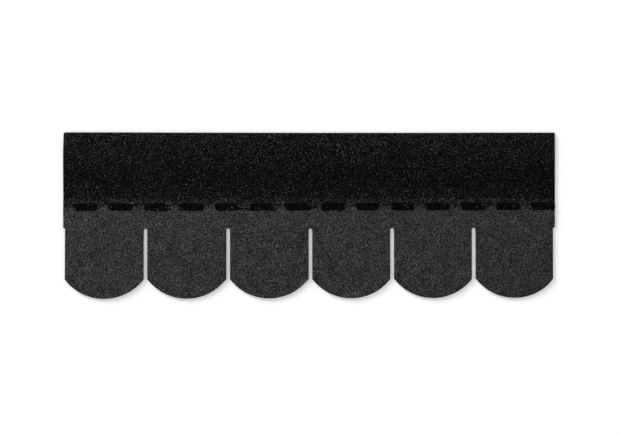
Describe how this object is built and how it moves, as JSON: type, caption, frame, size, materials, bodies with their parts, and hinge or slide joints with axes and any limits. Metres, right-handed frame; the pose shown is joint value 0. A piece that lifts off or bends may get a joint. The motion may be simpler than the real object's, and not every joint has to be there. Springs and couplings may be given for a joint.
{
  "type": "asphalt shingle strip",
  "caption": "Flat bituminous roofing strip with a plain upper headlap, a row of round-tipped tabs split by narrow slots below, and a line of self-sealing dabs across its face.",
  "frame": {"origin": "middle of the strip's plan, on the plane of its underside", "axes": "+X along the strip, +Y up the roof slope from the tabs towards the headlap's top edge, +Z out of the roof, through the granule face"},
  "size_m": [1, 0.337, 0.0039],
  "materials": {
    "granulated_bitumen": "bitumen-coated mat pressed with mineral granules: mid grey on the tabs, near black on the headlap; cut edges bare black bitumen, back dusted with fine sand",
    "sealing_bitumen": "smooth black modified bitumen, slightly glossy",
    "release_film": "thin siliconised polyester film"
  },
  "bodies": {
    "root": {"shingle_strip": "granulated_bitumen", "release_film": "release_film", "seal_dash_01": "sealing_bitumen", "seal_dash_02": "sealing_bitumen", "seal_dash_03": "sealing_bitumen", "seal_dash_04": "sealing_bitumen", "seal_dash_05": "sealing_bitumen", "seal_dash_06": "sealing_bitumen", "seal_dash_07": "sealing_bitumen", "seal_dash_08": "sealing_bitumen", "seal_dash_09": "sealing_bitumen", "seal_dash_10": "sealing_bitumen", "seal_dash_11": "sealing_bitumen", "seal_dash_12": "sealing_bitumen", "seal_dash_13": "sealing_bitumen", "seal_dash_14": "sealing_bitumen"}
  },
  "joints": []
}
